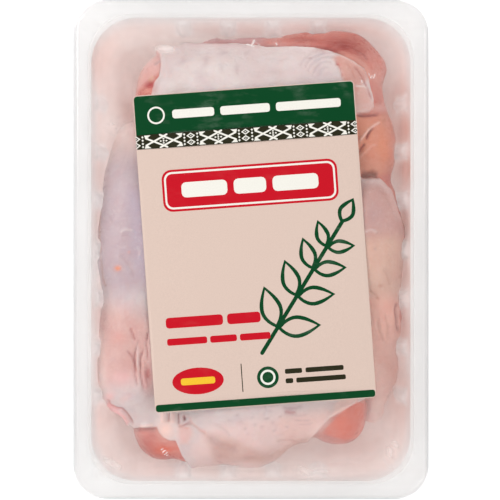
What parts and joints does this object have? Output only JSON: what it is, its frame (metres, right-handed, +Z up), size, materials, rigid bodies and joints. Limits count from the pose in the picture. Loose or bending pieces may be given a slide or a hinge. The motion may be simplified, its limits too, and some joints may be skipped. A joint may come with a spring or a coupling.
{
  "type": "tray pack of raw chicken leg quarters",
  "caption": "Sealed white plastic tray of raw chicken leg quarters with a clear lid film and a printed paper label.",
  "frame": {"origin": "middle of the tray's base, on the plane it stands on", "axes": "+Y along the tray's length, towards the head of the label; +X to the right of someone reading the label; +Z up"},
  "size_m": [0.1864, 0.262, 0.0531],
  "materials": {
    "tray_plastic": "satin white, slightly milky thermoformed plastic",
    "clear_film": "clear glossy sealing film",
    "label_paper": "coated beige paper printed in dark green and red",
    "raw_chicken": "wet pale pink skin with darker raw muscle at its edges"
  },
  "bodies": {
    "root": {"tray": "tray_plastic", "lid_film": "clear_film", "label": "label_paper", "leg_quarter_upper": "raw_chicken", "leg_quarter_lower": "raw_chicken"}
  },
  "joints": []
}
